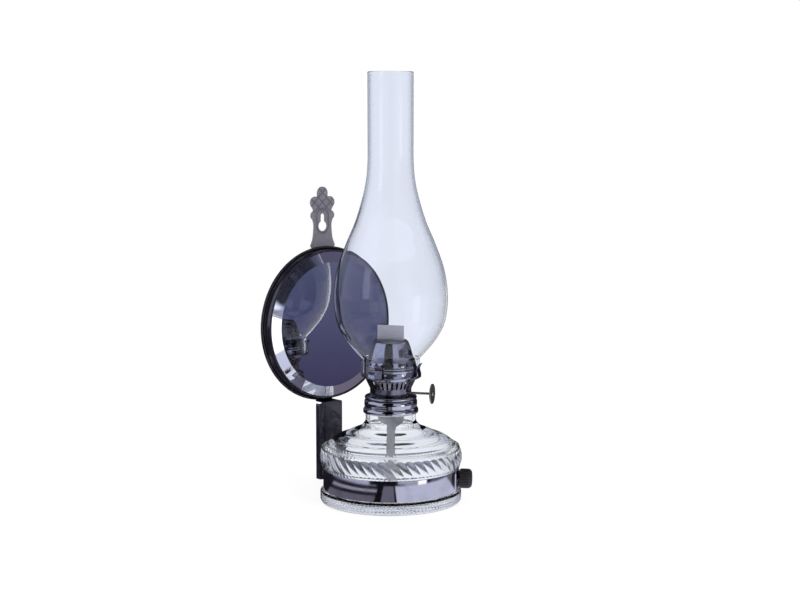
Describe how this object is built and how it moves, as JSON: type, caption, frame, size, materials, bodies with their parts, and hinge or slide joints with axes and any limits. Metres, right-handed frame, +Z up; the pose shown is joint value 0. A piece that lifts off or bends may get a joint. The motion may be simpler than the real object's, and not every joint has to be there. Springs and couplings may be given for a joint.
{
  "type": "oil lamp",
  "caption": "Wall-hung kerosene lamp: pressed-glass font in a clamped strap, screw-in flat-wick burner, glass chimney, and a bracket with a round bevelled mirror.",
  "frame": {"origin": "centre of the glass font's foot, on the surface that it stands on", "axes": "+Z up along the lamp's axis, +Y towards the wall, -Y the front, where the mirror faces"},
  "size_m": [0.1446, 0.1638, 0.3804],
  "materials": {
    "clear_glass": "clear pressed glass",
    "chimney_glass": "clear blown glass",
    "plaster": "matt plaster",
    "nickel": "polished nickel plate",
    "dark_nickel": "dark nickel plate, satin",
    "raw_brass": "dull brass",
    "steel": "satin steel",
    "black_paint": "gloss black enamel",
    "grey_steel": "grey hammered steel",
    "silvered_glass": "bevelled mirror",
    "card": "brown card",
    "black_plastic": "moulded black-brown plastic",
    "cotton": "woven cotton"
  },
  "bodies": {
    "root": {"glass_font": "clear_glass", "collar_cement": "plaster", "font_collar": "nickel", "strap_long": "nickel", "strap_short": "nickel", "strap_rivets": "nickel", "clamp_stud": "nickel", "bracket_arm": "black_paint", "hanger_plate": "grey_steel", "bracket_rivets": "steel", "reflector_saucer": "black_paint", "mirror_frame": "black_paint", "mirror_card": "card", "mirror_glass": "silvered_glass"},
    "washer": {"clamp_washer": "nickel"},
    "knob": {"clamp_knob": "black_plastic", "knob_insert": "raw_brass"},
    "burner_screw": {"burner_thread": "dark_nickel"},
    "burner": {"tube_plate": "dark_nickel", "burner_base": "nickel", "air_basket": "dark_nickel", "gallery_ring": "nickel", "prong_1": "dark_nickel", "prong_2": "dark_nickel", "prong_3": "dark_nickel", "prong_4": "dark_nickel", "prong_rivets": "nickel", "burner_dome": "nickel", "wick_tube": "dark_nickel", "vent_tube": "raw_brass", "wheel_box": "raw_brass", "spindle_bush": "raw_brass"},
    "raiser": {"raiser_spindle": "steel", "spur_wheel_1": "raw_brass", "spur_wheel_2": "raw_brass", "raiser_disc": "steel", "raiser_cap": "steel"},
    "wick": {"wick": "cotton"},
    "chimney": {"chimney": "chimney_glass"}
  },
  "joints": [
    {"name": "burner_rise", "type": "slide", "parent": "root", "child": "burner_screw", "axis": [0, 0, 1], "range_m": [0, 0.008]},
    {"name": "burner_turn", "type": "hinge", "parent": "burner_screw", "child": "burner", "pos_m": [0, 0, 0.0918], "axis": [0, 0, 1], "range_deg": [0, 1170]},
    {"name": "raiser_turn", "type": "hinge", "parent": "burner", "child": "raiser", "pos_m": [0.00234, -0.01301, 0.0985], "axis": [0.5736, -0.8192, 0], "range_deg": [-190, 55]},
    {"name": "wick_slide", "type": "slide", "parent": "burner", "child": "wick", "axis": [0, 0, 1], "range_m": [-0.0145, 0.0045]},
    {"name": "chimney_lift", "type": "slide", "parent": "burner", "child": "chimney", "axis": [0, 0, 1], "range_m": [0, 0.05]},
    {"name": "clamp_back_off", "type": "slide", "parent": "root", "child": "washer", "axis": [0.682, -0.7314, 0], "range_m": [0, 0.0022]},
    {"name": "clamp_turn", "type": "hinge", "parent": "washer", "child": "knob", "pos_m": [0.04774, -0.05119, 0.0208], "axis": [0.682, -0.7314, 0], "range_deg": [0, 1080]}
  ],
  "couplings": [
    {"joint": "burner_rise", "follows": "burner_turn", "m_per_rad": 0.00036606},
    {"joint": "wick_slide", "follows": "raiser_turn", "m_per_rad": 0.0042},
    {"joint": "clamp_back_off", "follows": "clamp_turn", "m_per_rad": 0.00011141}
  ]
}
